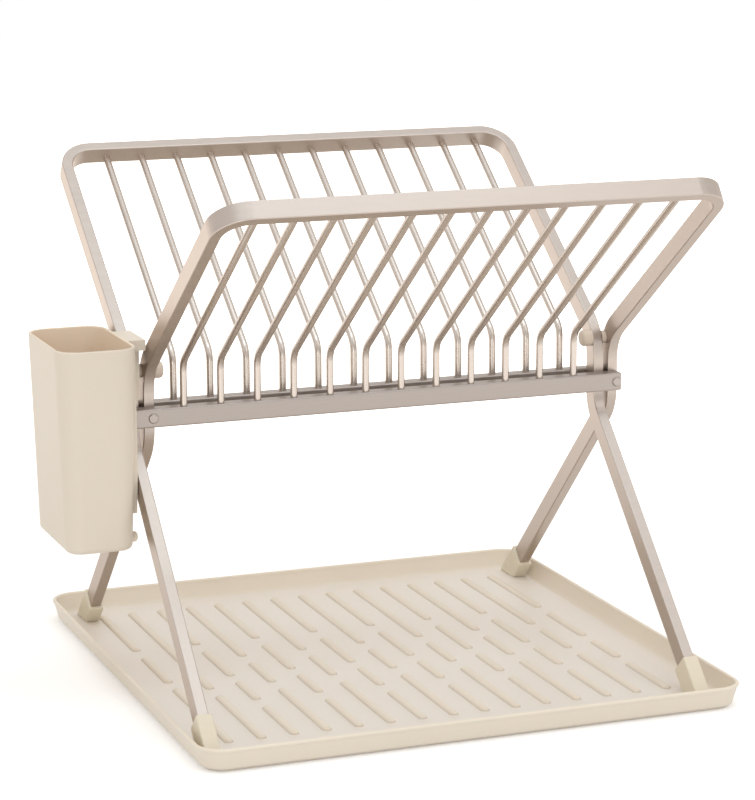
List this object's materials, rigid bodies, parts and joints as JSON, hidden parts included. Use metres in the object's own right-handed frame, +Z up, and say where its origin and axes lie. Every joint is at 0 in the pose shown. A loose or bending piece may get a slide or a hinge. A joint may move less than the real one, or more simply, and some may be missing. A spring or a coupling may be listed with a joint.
{
  "type": "folding dish rack",
  "caption": "Folding dish rack: two crossed U frames with plate rods hinge on side pivots over a shallow drip tray, with a cutlery holder hooked on the side.",
  "frame": {"origin": "middle of the drip tray's flat underside", "axes": "+X to the right along the rack's width, +Y to the back, +Z up from the surface it stands on"},
  "size_m": [0.4506, 0.4112, 0.3743],
  "materials": {
    "frame_metal": "satin champagne lacquer on aluminium bar",
    "rail_metal": "satin champagne lacquer",
    "rod_metal": "satin champagne lacquer on wire rod",
    "rivet_metal": "satin champagne lacquer",
    "washer_plastic": "moulded",
    "knob_plastic": "moulded beige",
    "cap_plastic": "moulded beige, soft",
    "tray_plastic": "moulded beige",
    "holder_plastic": "moulded beige"
  },
  "bodies": {
    "tray": {"drip_tray": "tray_plastic"},
    "pivots": {"left_pivot_pin": "rivet_metal", "left_pivot_washer": "washer_plastic", "left_pivot_knob": "knob_plastic", "right_pivot_pin": "rivet_metal", "right_pivot_washer": "washer_plastic", "right_pivot_knob": "knob_plastic"},
    "front_frame": {"front_frame_bar": "frame_metal", "front_rod_rail": "rail_metal", "front_rod_01": "rod_metal", "front_rod_02": "rod_metal", "front_rod_03": "rod_metal", "front_rod_04": "rod_metal", "front_rod_05": "rod_metal", "front_rod_06": "rod_metal", "front_rod_07": "rod_metal", "front_rod_08": "rod_metal", "front_rod_09": "rod_metal", "front_rod_10": "rod_metal", "front_rod_11": "rod_metal", "front_rod_12": "rod_metal", "front_rail_rivet_inner": "rivet_metal", "front_rail_rivet_outer": "rivet_metal", "front_foot_cap_inner": "cap_plastic", "front_foot_cap_outer": "cap_plastic"},
    "rear_frame": {"rear_frame_bar": "frame_metal", "rear_rod_rail": "rail_metal", "rear_rod_01": "rod_metal", "rear_rod_02": "rod_metal", "rear_rod_03": "rod_metal", "rear_rod_04": "rod_metal", "rear_rod_05": "rod_metal", "rear_rod_06": "rod_metal", "rear_rod_07": "rod_metal", "rear_rod_08": "rod_metal", "rear_rod_09": "rod_metal", "rear_rod_10": "rod_metal", "rear_rod_11": "rod_metal", "rear_rod_12": "rod_metal", "rear_rail_rivet_inner": "rivet_metal", "rear_rail_rivet_outer": "rivet_metal", "rear_foot_cap_inner": "cap_plastic", "rear_foot_cap_outer": "cap_plastic"},
    "holder": {"cutlery_holder": "holder_plastic"}
  },
  "joints": [
    {"name": "fold_front", "type": "hinge", "parent": "pivots", "child": "front_frame", "pos_m": [0, 0, 0.2324], "axis": [-1, 0, 0], "range_deg": [0, 51]},
    {"name": "fold_rear", "type": "hinge", "parent": "pivots", "child": "rear_frame", "pos_m": [0, 0, 0.2324], "axis": [1, 0, 0], "range_deg": [0, 51]},
    {"name": "lift_off", "type": "slide", "parent": "tray", "child": "pivots", "axis": [0, 0, 1], "range_m": [0, 0.18]},
    {"name": "holder_lift", "type": "slide", "parent": "rear_frame", "child": "holder", "axis": [0, 0, 1], "range_m": [0, 0.16]}
  ],
  "couplings": [
    {"joint": "fold_rear", "follows": "fold_front", "ratio": 1},
    {"joint": "lift_off", "follows": "fold_front", "m_per_rad": 0.2}
  ]
}
